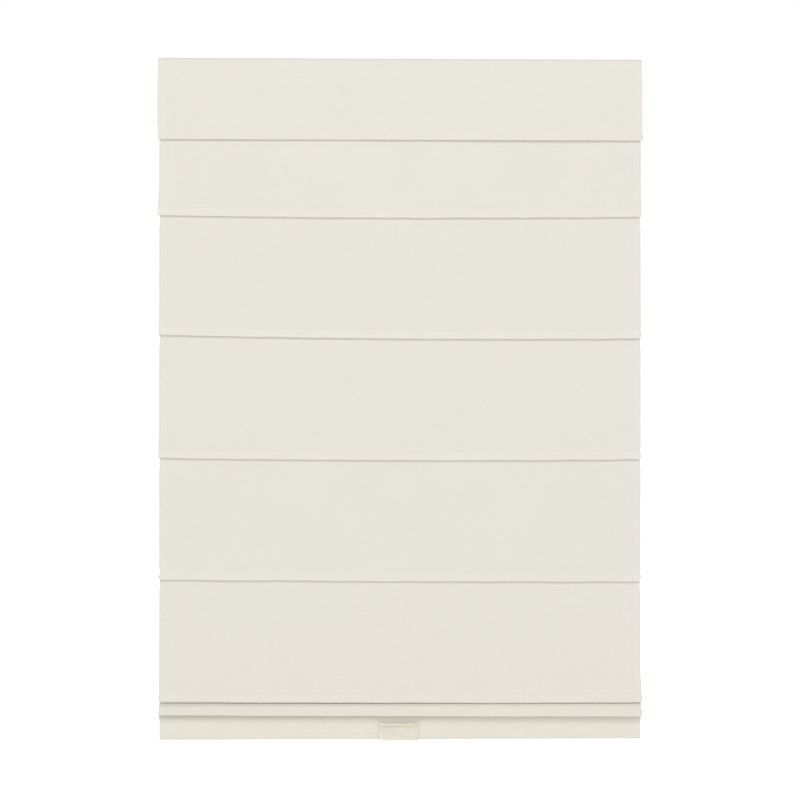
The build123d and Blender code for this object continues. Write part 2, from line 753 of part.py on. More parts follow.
# ======================= bottom bar =======================
with BuildPart() as bottom_bar:
    with BuildSketch(across(bar_length)):
        with Locations((bar_y, bar_z + bar_height / 2)):
            SlotOverall(bar_height, bar_depth, rotation=90)
            SlotOverall(
                bar_height - 2 * bar_wall,
                bar_depth - 2 * bar_wall,
                rotation=90,
                mode=Mode.SUBTRACT,
            )
    extrude(amount=bar_length)
    with BuildSketch(Plane.XZ.offset(-bar_y - bar_depth / 2)):
        with Locations(*anchor_screw_points):
            Circle(anchor_screw_r)
    extrude(amount=bar_wall, mode=Mode.SUBTRACT)
save(bottom_bar, "bottom_bar")

plug_gap = bar_wall + part_gap
with BuildPart() as bar_caps:
    for sign in (-1, 1):
        with BuildSketch(across(bar_cap_plate, sign * (bar_length + bar_cap_plate) / 2)):
            with Locations((bar_y, bar_z + bar_height / 2)):
                SlotOverall(bar_height, bar_depth, rotation=90)
        extrude(amount=bar_cap_plate)
        with BuildSketch(across(bar_cap_plug, sign * (bar_length - bar_cap_plug) / 2)):
            with Locations((bar_y, bar_z + bar_height / 2)):
                SlotOverall(bar_height - 2 * plug_gap, bar_depth - 2 * plug_gap, rotation=90)
        extrude(amount=bar_cap_plug)
save(bar_caps, "bar_caps")

# Cord anchors: a block behind the bar for each cord, screwed through the hem's cloth.
anchor_front = back_layer_y + cloth / 2 + soft_gap
anchor_back = anchor_front + anchor_depth
with BuildPart() as cord_anchors:
    for x in cord_sides.values():
        with BuildSketch(Plane.XY.offset(anchor_low)):
            with Locations((x + anchor_screw_offset / 2, (anchor_front + anchor_back) / 2)):
                RectangleRounded(anchor_width, anchor_depth, anchor_corner_r)
            with Locations((x, cord_y)):
                Circle(cord_r + anchor_cord_gap, mode=Mode.SUBTRACT)
        extrude(amount=anchor_height)
    with BuildSketch(Plane.XZ.offset(-anchor_back)):
        with Locations(*anchor_screw_points):
            Circle(anchor_screw_r + part_gap)
    extrude(amount=anchor_depth, mode=Mode.SUBTRACT)
save(cord_anchors, "cord_anchors")

anchor_screw_reach = anchor_back - (bar_y + bar_depth / 2) + bar_wall
with BuildPart() as anchor_screws:
    with BuildSketch(Plane.XZ.offset(-anchor_back)):
        with Locations(*anchor_screw_points):
            Circle(anchor_screw_r - screw_gap)
    extrude(amount=anchor_screw_reach)
    with BuildSketch(Plane.XZ.offset(-anchor_back)):
        with Locations(*anchor_screw_points):
            Circle(anchor_screw_head_r)
    extrude(amount=-anchor_screw_r)
save(anchor_screws, "anchor_screws")

# Pull handle: clear plastic, clipped over the hem from below, with a finger lip.
clip_front = panel_y - cloth / 2 - part_gap
clip_back = back_layer_y + cloth / 2 + part_gap
clip_low = hem_z - part_gap
clip_bottom = clip_low - handle_wall
clip_top = clip_bottom + handle_height
with BuildPart() as pull_handle:
    with BuildSketch(across(handle_width, handle_offset)):
        with BuildLine():
            Polyline(
                (clip_front, clip_low),
                (clip_back, clip_low),
                (clip_back, clip_bottom + handle_back),
                (clip_back + handle_wall, clip_bottom + handle_back),
                (clip_back + handle_wall, clip_bottom),
                (clip_front - handle_wall, clip_bottom),
                (clip_front - handle_wall, clip_top - handle_lip),
                (clip_front - handle_lip_depth, clip_top - handle_lip),
                (clip_front - handle_lip_depth, clip_top),
                (clip_front, clip_top),
                close=True,
            )
        make_face()
    extrude(amount=handle_width)
    fillet(pull_handle.edges().filter_by(Axis.X), handle_edge)
save(pull_handle, "pull_handle")
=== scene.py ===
# %% [markdown]
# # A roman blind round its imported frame
# The metal, plastic and rods of this blind come ready made from its CAD model. What is
# added here is the cloth, the cords and every finish. Lengths are worked out in
# millimetres, as a blind maker would, and turned into metres where a mesh is made.
# X runs along the headrail, Y goes back to the wall, and Z is up.

import json
import math

import bpy
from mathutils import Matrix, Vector, noise


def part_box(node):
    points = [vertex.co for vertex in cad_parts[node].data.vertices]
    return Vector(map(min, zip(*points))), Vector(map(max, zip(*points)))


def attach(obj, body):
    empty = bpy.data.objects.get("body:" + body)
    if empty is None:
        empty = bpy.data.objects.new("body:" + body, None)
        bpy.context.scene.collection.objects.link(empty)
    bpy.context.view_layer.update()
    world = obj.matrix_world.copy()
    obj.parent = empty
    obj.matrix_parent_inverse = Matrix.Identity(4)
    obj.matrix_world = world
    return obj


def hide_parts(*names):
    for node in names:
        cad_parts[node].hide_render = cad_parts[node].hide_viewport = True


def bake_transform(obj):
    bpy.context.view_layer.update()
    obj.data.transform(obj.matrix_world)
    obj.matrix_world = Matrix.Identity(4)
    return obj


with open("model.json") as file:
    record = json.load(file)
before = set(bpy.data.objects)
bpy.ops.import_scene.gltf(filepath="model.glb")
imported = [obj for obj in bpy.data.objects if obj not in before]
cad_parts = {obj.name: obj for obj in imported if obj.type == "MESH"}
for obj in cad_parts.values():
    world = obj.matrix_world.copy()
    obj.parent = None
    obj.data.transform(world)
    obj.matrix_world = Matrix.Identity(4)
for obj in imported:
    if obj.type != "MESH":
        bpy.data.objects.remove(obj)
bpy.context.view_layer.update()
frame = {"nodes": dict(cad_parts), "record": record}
MM = 0.001


# %% [markdown]
# ## The sizes that the cloth has to meet
# A blind's cloth is set out from its hardware: the rods say where the panels meet, and
# the fixing strips say where the cloth starts. Reading those boxes from the frame keeps
# the cloth true to the hardware if a length changes there.

# %% Read the hardware's places
def box_mm(node):
    """Lowest and highest corner of a CAD node, in millimetres."""
    low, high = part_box(node)
    return low / MM, high / MM


face_low, face_high = box_mm("face_cloth")
valance_low, valance_high = box_mm("valance")
rods = [box_mm(f"rib_rod_{n}") for n in range(1, 6)]
rod_y = (rods[0][0].y + rods[0][1].y) / 2
rod_z = [(low.z + high.z) / 2 for low, high in rods]
bar_low, bar_high = box_mm("bottom_bar")
loop_tape_low, loop_tape_high = box_mm("loop_strip")
front_tape_low, front_tape_high = box_mm("valance_strip")
cord_x = box_mm("lift_cord_right")[0].x + 1.8
print("half width", round(face_high.x, 2), "rods at", [round(z, 1) for z in rod_z])

# %% Set out the cloth
cloth = 0.9                # thickness of the face cloth
pocket_cloth = 0.5         # thickness of the rod pockets' tape
half_width = face_high.x
side_hem = 12.0            # cloth turned back along each side
loop_r = [0.8, 0.9, 0.9, 1.0, 1.7]   # lower turn of each fold
turn_r = 1.0               # upper turn, at a rib
bend_r = 10.0              # where the cloth leaves the headrail
fold_lap = 13.0            # a fold hangs this far below its rib line
hem_end_gap = 16.0         # side hems stop this far from each turn
cloth_top_y = (loop_tape_low.y + front_tape_high.y) / 2
panel_y = rod_y - 2.7 - 0.3 - cloth / 2
strip_y = panel_y - 2 * turn_r
fold_y = [strip_y - 2 * r for r in loop_r]
rib_line = [z + 6.0 for z in rod_z]
fold_z = [z - fold_lap for z in rib_line]
bend_z = loop_tape_low.z - 2.0
print("panels at y", round(panel_y, 2), "folds at y", [round(y, 2) for y in fold_y])
print("fold edges at z", [round(z, 1) for z in fold_z])


# %% [markdown]
# ## Shader maths
# Weave, grain and wear are sums and products of waves and noises. Writing them as nodes
# one by one hides the idea, so a small class lets a socket be added and multiplied like
# a number, and one method makes any other node from its type, settings and inputs.

# %% A socket that can be reckoned with
class Wire:
    """An output socket in a node tree. Its operators add Math nodes."""

    def __init__(self, shading, socket):
        self.shading, self.socket = shading, socket

    def maths(self, operation, *terms):
        return self.shading.node("Math", {"operation": operation}, dict(enumerate(terms)))

    def __add__(self, other):
        return self.maths("ADD", self, other)

    def __sub__(self, other):
        return self.maths("SUBTRACT", self, other)

    def __rsub__(self, other):
        return self.maths("SUBTRACT", other, self)

    def __mul__(self, other):
        return self.maths("MULTIPLY", self, other)

    __radd__ = __add__
    __rmul__ = __mul__

    def sin(self):
        return self.maths("SINE", self)

    def size(self):
        return self.maths("ABSOLUTE", self)

    def over(self, low, high):
        """0 up to low, 1 from high, and a smooth step between them."""
        return self.shading.node(
            "MapRange",
            {"interpolation_type": "SMOOTHSTEP"},
            {"Value": self, "From Min": low, "From Max": high},
        )


class Shading:
    """A node tree, of a material or of the world."""

    def __init__(self, tree):
        self.tree = tree

    def node(self, kind, settings=None, inputs=None, out=0):
        """A node of that type, with its settings and the values or links of its sockets."""
        made = self.tree.nodes.new("ShaderNode" + kind)
        for setting, value in (settings or {}).items():
            setattr(made, setting, value)
        for key, value in (inputs or {}).items():
            self.join(made.inputs[key], value)
        return Wire(self, made.outputs[out])

    def join(self, socket, value):
        if isinstance(value, Wire):
            self.tree.links.new(value.socket, socket)
        else:
            socket.default_value = value

    def along(self, vector):
        """A vector's three numbers."""
        split = self.node("SeparateXYZ", inputs={0: vector})
        return [Wire(self, s) for s in split.socket.node.outputs]


class Finish(Shading):
    """A material with one Principled shader. What is the same all over is set on the shader."""

    def __init__(self, name, **uniform):
        self.material = bpy.data.materials.new(name)
        self.material.use_nodes = True
        super().__init__(self.material.node_tree)
        self.shader = next(n for n in self.tree.nodes if n.type == "BSDF_PRINCIPLED")
        for socket, value in uniform.items():
            self.shader.inputs[socket.replace("_", " ")].default_value = value

    def set(self, **varying):
        for socket, value in varying.items():
            self.join(self.shader.inputs[socket.replace("_", " ")], value)

    def place(self):
        """The point on the object, in metres."""
        return self.node("TexCoord", out="Object")

    def stretch(self, vector, scale):
        return self.node("VectorMath", {"operation": "MULTIPLY"}, {0: vector, 1: scale})

    def noise(self, vector, scale, detail=2.0, roughness=0.5):
        return self.node(
            "TexNoise",
            inputs={"Vector": vector, "Scale": scale, "Detail": detail, "Roughness": roughness},
        )

    def blend_colours(self, mask, first, second):
        """first where the mask is 0, second where it is 1."""
        return self.node("Mix", {"data_type": "RGBA"}, {0: mask, 6: first, 7: second}, out=2)

    def bump(self, height, depth, strength=1.0):
        """Feeds Normal from a height of 0 to 1 that stands for a depth in metres."""
        self.set(
            Normal=self.node(
                "Bump", inputs={"Height": height, "Distance": depth, "Strength": strength}
            )
        )


def colour(red, green, blue):
    """A colour as seen on a screen, 0 to 255, as the shader's linear numbers."""
    def linear(value):
        value /= 255
        return value / 12.92 if value <= 0.04045 else ((value + 0.055) / 1.055) ** 2.4

    return (linear(red), linear(green), linear(blue), 1.0)


finishes = {}


# %% [markdown]
# ## Woven cloth
# The face is a plain weave: each thread goes over one and under the next. Two waves
# crossed at the thread pitch give the threads, and their product says which one is on
# top. Uneven yarn shows as faint streaks along both threads, which is what stops a pale
# cloth from looking like paper, and a faint cloudiness varies the tone. The dips between
# threads are painted a little darker, as painted shade. The pattern is laid on the
# cloth's own lengths, kept as a map called "threads", so that it turns with the cloth at
# every fold.

# %% A woven finish
def woven(name, tone, shade, pitch, streaks, depth, **uniform):
    """Plain weave of a thread pitch in millimetres, from its light tone to its shade."""
    f = Finish(name, Specular_IOR_Level=0.3, **uniform)
    lay = f.node("UVMap", {"uv_map": "threads"})
    u, v, _ = f.along(lay)
    turn = math.pi / (pitch * MM)
    warp, weft = (u * turn).sin(), (v * turn).sin()
    over = warp * weft * 0.5 + 0.5
    threads = over * warp.size() + (1 - over) * weft.size()
    along_weft = f.noise(f.stretch(lay, (45, 900, 900)), 1.0, 3.0, 0.6)
    along_warp = f.noise(f.stretch(lay, (900, 40, 40)), 1.0, 3.0, 0.6)
    slub = along_weft.over(0.52, 0.72) * 0.6 + along_warp.over(0.55, 0.75) * 0.4
    cloudy = f.noise(lay, 9.0, 2.0)
    fuzz = f.noise(lay, 2600.0, 2.0)
    # Yarn streaks and random cloudiness, plus painted shade in the dips between threads.
    yarn_and_weave_shade = slub * streaks + cloudy.over(0.3, 0.7) * 0.06 + (1 - threads) * 0.12
    f.tone = f.blend_colours(yarn_and_weave_shade, tone, shade)
    f.height = threads * 0.7 + slub * 0.35 + fuzz * 0.15
    f.set(Base_Color=f.tone, Roughness=0.78 + fuzz * 0.18)
    f.bump(f.height, depth * MM)
    finishes[name] = f.material
    return f


cream = woven(
    "cream_cloth", colour(212.3, 209.4, 202.2), colour(203.3, 199.4, 188.3), 0.5, 0.55, 0.06,
    Sheen_Weight=0.12, Sheen_Roughness=0.4,
)
woven("lining_cloth", colour(240, 239, 234), colour(226, 224, 214), 0.35, 0.3, 0.04,
      Sheen_Weight=0.1)
print("woven finishes:", sorted(finishes))


# %% [markdown]
# ## Finishes of the hardware
# The headrail is roll-formed steel with baked enamel, which dries with a faint
# orange-peel. Mouldings have the fine texture of a spark-eroded mould. Zinc plate is
# cloudy, drawn and extruded metal carries streaks along its length, and the hook and
# loop strips are a matt pile. Each is one short function call on the same few nodes.

# %% Painted, moulded and plated finishes
def speckled(name, tone, shade, scale, depth, rough, cloud=12.0, stretch=(1, 1, 1), **uniform):
    """A surface whose colour, roughness and height wander at one grain size per metre."""
    f = Finish(name, **uniform)
    lay = f.stretch(f.place(), stretch)
    grain = f.noise(lay, scale, 2.0)
    patch = f.noise(lay, cloud, 3.0)
    low, high = rough
    f.tone = f.blend_colours(patch.over(0.3, 0.75), tone, shade)
    f.set(
        Base_Color=f.tone,
        Roughness=low + (grain * 0.5 + patch * 0.5) * (high - low),
    )
    f.bump(grain, depth * MM)
    finishes[name] = f.material
    return f


speckled("white_enamel", colour(240, 240, 237), colour(235, 235, 231), 700, 0.03, (0.25, 0.45),
         Coat_Weight=0.3, Coat_Roughness=0.15)
speckled("white_moulding", colour(238, 238, 233), colour(231, 231, 225), 2500, 0.02, (0.4, 0.6))
speckled("zinc_steel", colour(196, 200, 204), colour(168, 173, 180), 1500, 0.01, (0.28, 0.55),
         cloud=140, Metallic=1.0)
speckled("spring_steel", colour(150, 153, 158), colour(120, 122, 128), 400, 0.01, (0.22, 0.4),
         stretch=(12, 1, 1), Metallic=1.0)
speckled("bar_aluminium", colour(214, 215, 216), colour(198, 200, 203), 900, 0.01, (0.3, 0.5),
         stretch=(0.02, 1, 1), Metallic=1.0)
speckled("fibre_rod", colour(226, 224, 206), colour(210, 208, 186), 1200, 0.02, (0.3, 0.5),
         stretch=(0.02, 1, 1), Coat_Weight=0.2)
speckled("white_tape", colour(240, 240, 236), colour(222, 222, 216), 2200, 0.35, (0.85, 1.0),
         Sheen_Weight=0.3)
speckled("clear_eye", colour(236, 238, 236), colour(228, 231, 228), 1500, 0.01, (0.12, 0.25),
         Transmission_Weight=0.5, IOR=1.5)
speckled("sewing_thread", colour(214, 208, 190), colour(196, 188, 166), 3000, 0.05, (0.6, 0.85))
print("hardware finishes:", sorted(finishes))

# %% [markdown]
# ## Braided cord
# A lift cord is braided from strands that cross. Two waves that slant opposite ways are
# multiplied, which gives the braid's small diamonds.

# %% Braided cord
cord_braid = Finish("white_cord", Sheen_Weight=0.15)
lay = cord_braid.place()
x, y, z = cord_braid.along(lay)
twill = (z * 3400 + y * 2600 + x * 2600).sin() * (z * 3400 - y * 2600 - x * 2600).sin()
strands = twill * 0.5 + 0.5
cord_braid.set(
    Base_Color=cord_braid.blend_colours(strands, colour(206, 205, 198), colour(238, 238, 233)),
    Roughness=0.85 - strands * 0.2,
)
cord_braid.bump(strands, 0.12 * MM)
finishes["white_cord"] = cord_braid.material

# %% [markdown]
# ## The handle's plastic
# The handle is a clear, slightly milky clip over the hem. The cloth shows through it a
# little darker, and its edges catch the light. Transmission with a soft roughness gives
# both without any picture of the cloth inside.

# %% Milky clear plastic
plastic = speckled("clear_plastic", colour(252, 249, 236), colour(247, 244, 229), 900, 0.01,
                   (0.12, 0.3), cloud=60, Transmission_Weight=0.45, IOR=1.49)
_, handle_top = box_mm("pull_handle")
_, _, up = plastic.along(plastic.place())
lip = up.over((handle_top.z - 6.5) * MM, (handle_top.z - 5.5) * MM)
plastic.set(Base_Color=plastic.blend_colours(lip, plastic.tone, colour(246, 242, 221)))


# %% [markdown]
# ## Finish every CAD node
# The record says which finish each node has, so one loop covers the hardware. The
# cloth and cord nodes get theirs too, and are hidden further down, where made pieces
# take their place.

# %% Assign the finishes
for part in frame["record"]["subparts"]:
    piece = frame["nodes"][part["node"]]
    piece.data.materials.clear()
    piece.data.materials.append(finishes[part["material_slot"]])


# %% [markdown]
# ## Profiles
# Cloth that hangs in folds has one shape seen from the side, carried across its width.
# So each length of cloth starts as a line in the side view: straight runs, and arcs
# with a dozen or more points where it turns. Each point keeps two shares besides its
# place: how far it follows its fold's sag, and how free it is to belly.

# %% A line in the side view
class Profile:
    """Points (y, z) in millimetres, with each one's share of the sag and of the billow."""

    def __init__(self, y, z):
        self.points, self.sag, self.free = [(y, z)], [0.0], [0.0]

    def add(self, y, z, sag, free):
        self.points.append((y, z))
        self.sag.append(sag)
        self.free.append(free)

    def run(self, y, z, sag=(0, 0), free=False, step=9.0):
        """A straight run to a point. The sag's share eases from its first value to its second."""
        y0, z0 = self.points[-1]
        parts = max(2, round(math.hypot(y - y0, z - z0) / step))
        for i in range(1, parts + 1):
            t = i / parts
            ease = t * t * (3 - 2 * t)
            self.add(
                y0 + (y - y0) * t, z0 + (z - z0) * t, sag[0] + (sag[1] - sag[0]) * ease,
                math.sin(math.pi * t) ** 2 if free else 0.0,
            )
        return self

    def turn(self, centre, radius, start, swing, sag=0.0, parts=14):
        """An arc from an angle, counted from +Y towards +Z, through a swing in degrees."""
        for i in range(1, parts + 1):
            angle = math.radians(start + swing * i / parts)
            self.add(
                centre[0] + radius * math.cos(angle), centre[1] + radius * math.sin(angle),
                sag, 0.0,
            )
        return self

    def through(self, corners, radius, parts=8):
        """Runs through corner points, each rounded, to the last one."""
        for corner, after in zip(corners, corners[1:]):
            here, bend, then = Vector(self.points[-1]), Vector(corner), Vector(after)
            first, second = (bend - here).normalized(), (then - bend).normalized()
            turned = first.angle(second)
            back = radius * math.tan(turned / 2)
            self.run(*(bend - first * back))
            for i in range(1, parts + 1):
                t = i / parts
                point = (
                    (bend - first * back) * (1 - t) ** 2
                    + bend * 2 * t * (1 - t)
                    + (bend + second * back) * t * t
                )
                self.add(*point, 0.0, 0.0)
        return self.run(*corners[-1])

    def lengths(self):
        """Distance along the line at each point."""
        total, out = 0.0, [0.0]
        for (y0, z0), (y1, z1) in zip(self.points, self.points[1:]):
            total += math.hypot(y1 - y0, z1 - z0)
            out.append(total)
        return out


def lean(across, down, radii):
    """Degrees off the vertical of a run that touches two turns on opposite sides.

    across and down are the distances between their centres, radii is the sum of theirs."""
    return math.degrees(math.atan2(across, down) + math.asin(radii / math.hypot(across, down)))


# %% [markdown]
# ## From a profile to cloth
# The mesh is a grid: columns across the width, rows along the profile. Real cloth is
# never quite straight, so three small movements are added: each fold's edge sags a few
# millimetres between its ends, the panels belly by about a millimetre, and the sides
# draw in a little between folds. A Solidify modifier then gives the cloth its
# thickness, which keeps the edges crisp without building two skins by hand.

# %% A length of cloth
def wander(x, z, seed):
    """Smooth, repeatable unevenness, about -1 to 1."""
    return 2.0 * noise.noise(Vector((x, z, seed)))


def piece_of(name, points, faces, threads, finish, thickness, smooth=True):
    """An object from points in millimetres and faces, with its thread map in metres."""
    mesh = bpy.data.meshes.new(name)
    mesh.from_pydata([Vector(p) * MM for p in points], [], faces)
    layer = mesh.uv_layers.new(name="threads")
    for corner in mesh.loops:
        layer.data[corner.index].uv = threads[corner.vertex_index]
    mesh.polygons.foreach_set("use_smooth", [smooth] * len(mesh.polygons))
    mesh.materials.append(finishes[finish])
    piece = bpy.data.objects.new(name, mesh)
    bpy.context.scene.collection.objects.link(piece)
    if thickness:
        solid = piece.modifiers.new("thickness", "SOLIDIFY")
        solid.thickness, solid.offset = thickness * MM, 0.0
    return piece


def push(piece, name, shares, depth):
    """Moves points towards the wall by their share of a depth in millimetres, by a modifier."""
    group = piece.vertex_groups.new(name=name)
    for index, share in shares:
        if share > 0:
            group.add([index], share, "REPLACE")
    shift = piece.modifiers.new(name, "DISPLACE")
    shift.direction, shift.vertex_group = "Y", name
    shift.mid_level, shift.strength = 0.0, depth * MM
    piece.modifiers.move(len(piece.modifiers) - 1, 0)


def hang(name, profile, half, start, sags=(0, 0, 0), flare=None, hem=None, finish="cream_cloth",
         belly=1.2, columns=80):
    """Cloth of a half width along a profile, from a distance along the whole cloth.

    sags is how far the fold's edge is moved up at its left, middle and right. flare is
    a function of z and of the place across, for how far the sides stand out. hem is the
    first and last row with the sides turned back behind the cloth. belly is how far the
    free cloth swells, in millimetres."""
    left, middle, right = sags
    run = profile.lengths()
    rows, bulge = [], []
    inner = half - 0.5
    near_edge = 1 - 1.2 / half
    even = [2 * i / columns - 1 for i in range(1, columns)]
    shares = [-1.0, -near_edge] + even + [near_edge, 1.0]
    columns = len(shares) - 1
    for (y, z), share, free in zip(profile.points, profile.sag, profile.free):
        row = []
        for a in shares:
            lift = middle + (right - left) / 2 * a + ((left + right) / 2 - middle) * a * a
            lift += 0.35 * wander(a * 9, z / 90, 3.1)
            x = a * (inner + (flare(z, a) if flare else 0.0))
            x += a ** 9 * 0.12 * wander(a, z / 45, 8.2)
            row.append((x, y, z + lift * share))
            bulge.append(free * (0.5 + 0.45 * wander(a * 2.2, z / 110, 5.5)))
        rows.append(row)
    points, threads, faces, back = [], [], [], []
    for row, s in zip(rows, run):
        for x, y, z in row:
            points.append((x, y, z))
            threads.append((x * MM, (start + s) * MM))
    wide = columns + 1
    for r in range(len(rows) - 1):
        for c in range(columns):
            a = r * wide + c
            faces.append((a, a + 1, a + wide + 1, a + wide))
    if hem:
        first, last = hem
        for side in (-1, 1):
            edge = 0 if side < 0 else columns
            band = {}
            for r in range(first, last + 1):
                x0, y0, z0 = rows[r][edge]
                band[r] = [r * wide + edge]
                for i in range(1, 9):
                    angle = math.pi * i / 8
                    points.append((x0 + side * 0.5 * math.sin(angle), y0, z0))
                    threads.append(((x0 + side * 0.2 * i) * MM, (start + run[r]) * MM))
                    back.append((len(points) - 1, 0.5 - 0.5 * math.cos(angle)))
                    band[r].append(len(points) - 1)
                for reach in (4.0, 8.0, side_hem - 0.5):
                    points.append((x0 - side * reach, y0, z0))
                    threads.append(((x0 + side * (1.6 + reach)) * MM, (start + run[r]) * MM))
                    back.append((len(points) - 1, 1.0))
                    band[r].append(len(points) - 1)
            for r in range(first, last):
                for i in range(len(band[r]) - 1):
                    quad = (band[r][i], band[r + 1][i], band[r + 1][i + 1], band[r][i + 1])
                    faces.append(quad if side < 0 else quad[::-1])
    piece = piece_of(name, points, faces, threads, finish, cloth)
    push(piece, "side hem", back, 1.0)
    push(piece, "belly", enumerate(bulge), -belly)
    return piece


# %% [markdown]
# ## The face cloth, panel by panel
# The face is one cut length, but a blind gathers at its ribs, so each panel has to
# follow two bodies: the rib above it and the rib below. It is made as one piece per
# panel: down the front, round the lower turn of the fold and up the short strip behind
# it to the rib. For each panel a blend slope between its two bodies is worked out, aimed
# so that the whole strip would go with the lower rib while the fold's front edge lags a
# little behind it, as gathered cloth does; nothing here applies it, and the panels stay
# where they are made. The foot, with the small fold and the hem round the bar, is rigid
# enough to ride on the bottom rail.

# %% Panels
bodies = ["head", "rib_1", "rib_2", "rib_3", "rib_4", "bottom_rail"]
upper = [((cloth_top_y - bend_r, bend_z), bend_r, 0.0)]
upper += [((strip_y + turn_r, z - turn_r), turn_r, 180.0) for z in rib_line]
lower = [(strip_y - r, z + cloth / 2 + r) for r, z in zip(loop_r, fold_z)]
flares = [(4.0, 1.7), (1.6, 0.8), (2.8, 0.3), (0.2, 0.2), (1.4, 3.9)]
fold_sags = [
    (2.4, -1.3, 1.6), (5.5, -0.5, 0.3), (3.0, -1.0, 0.5), (2.5, -0.5, -1.3),
    (1.6, -0.9, -1.4),
]


def fold_flare(edge, left, right):
    """Sides stand out near a fold's edge and draw in above it."""
    def flare(z, a):
        return 0.5 + (left if a < 0 else right) * math.exp(-(((z - edge) / 28.0) ** 2))
    return flare


fold_places, cut_length = [], 0.0
front_share = 0.735        # how far along the blend a fold's front edge is
for n in range(5):
    (centre, radius, arrives), under, under_r = upper[n], lower[n], loop_r[n]
    tilt = lean(centre[0] - under[0], centre[1] - under[1], radius + under_r)
    profile = Profile(cloth_top_y, face_high.z) if n == 0 else Profile(strip_y, centre[1])
    if n == 0:
        profile.run(cloth_top_y, bend_z, step=5.0)
    profile.turn(centre, radius, arrives, -arrives - tilt)
    first = len(profile.points)
    angle = math.radians(180 - tilt)
    profile.run(
        under[0] + under_r * math.cos(angle), under[1] + under_r * math.sin(angle), (0, 1), True
    )
    last = len(profile.points) - 1
    profile.turn(under, under_r, 180 - tilt, 180 + tilt, sag=1.0)
    profile.run(strip_y, rib_line[n] - turn_r, (1, 0), step=3.0)
    run = profile.lengths()
    hem_from, hem_to = run[first] + hem_end_gap, run[last] - hem_end_gap
    hem_rows = [r for r in range(first, last) if hem_from < run[r] < hem_to]
    panel = hang(
        f"panel_{n + 1}", profile, half_width, cut_length, fold_sags[n],
        fold_flare(fold_z[n], *flares[n]),
        (hem_rows[0], hem_rows[-1]),
    )
    y0, z0 = (cloth_top_y, bend_z) if n == 0 else (panel_y, centre[1])
    drop = z0 - (rib_line[n] - turn_r)
    reach = (z0 - under[1]) / drop
    lag = (reach - front_share) / (2 * under_r - (y0 - strip_y) * (reach - 1))
    slope = Vector((0, lag, -(1 + lag * (y0 - strip_y)) / drop))
    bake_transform(panel)
    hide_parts("face_cloth")
    flat = (2 * half_width * MM, run[-1] * MM)
    fold_places.append(cut_length + run[last])
    cut_length += run[-1]
    print(panel.name, "is", round(flat[1], 3), "m long, side hems on", len(hem_rows), "rows")

# %% [markdown]
# ## The foot
# Below the last rib the cloth makes one more, smaller fold. It then runs down in front of
# the bar, turns round its foot and comes up behind it to the seam. The small fold is a
# ledge with a sharp edge, made of two turns and the straight runs that touch them.

# %% The foot: small fold, hem round the bar
small_fold_drop = 23.0     # last fold's edge to the small fold's
small_fold_reach = 7.6     # how far the small fold stands out
small_fold_rise = 7.0      # its edge to its back turn
seam_rise = 6.0            # bar's top to the start of the seam
bar_slack = 0.3            # cloth to the bar
step_r = 1.3               # turn at the small fold's edge
step_z = fold_z[-1] - small_fold_drop
step_turn = (strip_y - small_fold_reach + step_r, step_z + cloth / 2 + step_r)
step_top = (strip_y + turn_r, step_z + small_fold_rise - turn_r)
back_y = bar_high.y + bar_slack + cloth / 2
hem_r = (back_y - panel_y) / 2
hem_turn_z = face_low.z + cloth / 2 + hem_r
seam_y, seam_z = panel_y + cloth + 0.1, bar_high.z + seam_rise
foot = Profile(strip_y, upper[5][0][1]).turn(upper[5][0], turn_r, 180, -180)
recess_z = fold_z[-1] - 1.9
brow = (strip_y - 4.2, recess_z - 4.3)
front = lean(brow[0] - step_turn[0], brow[1] - step_turn[1], step_r)
back = -lean(step_turn[0] - step_top[0], step_top[1] - step_turn[1], step_r + turn_r)
angle = math.radians(180 - front)
step_edge = (
    step_turn[0] + step_r * math.cos(angle), step_turn[1] + step_r * math.sin(angle)
)
below_brow = Vector(brow).lerp(Vector(step_edge), 0.2)
foot.through([(panel_y, recess_z + 1.0), brow, below_brow], 1.5)
foot.run(*step_edge, (0, 1), step=3.0)
foot.turn(step_turn, step_r, 180 - front, 180 + front - back, sag=1.0)
angle = math.radians(180 - back)
foot.run(
    step_top[0] + turn_r * math.cos(angle), step_top[1] + turn_r * math.sin(angle), (1, 0), step=2.0
)
foot.turn(step_top, turn_r, 180 - back, back - 180)
step_row = len(foot.points) - 1
foot.run(panel_y, hem_turn_z, step=5.0)
foot.turn((panel_y + hem_r, hem_turn_z), hem_r, 180, 180, parts=18)
foot.through(
    [(back_y, bar_high.z + bar_slack), (seam_y, seam_z), (seam_y, seam_z + 3.0)], 1.5
)


def foot_flare(z, a):
    """The small fold's ends stand out from the hem below it."""
    at_hem, at_step = (0.9, 2.0) if a < 0 else (1.8, 1.9)
    return at_hem + at_step * near_step(z)


def near_step(z):
    return math.exp(-(((z - step_z - 6.0) / 9.0) ** 2))


hem_piece = hang(
    "hem", foot, half_width, cut_length, (3.0, 0.5, -1.3), foot_flare, belly=0.0
)
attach(hem_piece, "bottom_rail")
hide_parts("face_cloth")
hem_length = foot.lengths()[-1]
hem_length * MM
crease = cut_length + foot.lengths()[step_row] + step_top[1] - step_z
cut_length += hem_length
print("face cloth cut length:", round(cut_length), "mm")

# %% [markdown]
# ## Where the sewing shows
# Behind the face, each rib's pocket is sewn on a little above its fold, and the sides
# are hemmed. The doubled cloth looks slightly paler from the front, and each seam is
# pressed in as a fine line. A painted shadow darkens the crease under the small fold,
# and lower down the cloth is painted a touch warmer and darker, as painted shade for the
# light falling off towards the bottom. All of it is found from the thread map, so it
# moves with the cloth.

# %% Pressed lines, the doubled cloth and painted shade
def line_at(distance, place, width=0.6):
    """1 on a fine line at a place along a distance, fading to 0 at its width."""
    return 1 - (distance - place * MM).size().over(0.0, width * MM)


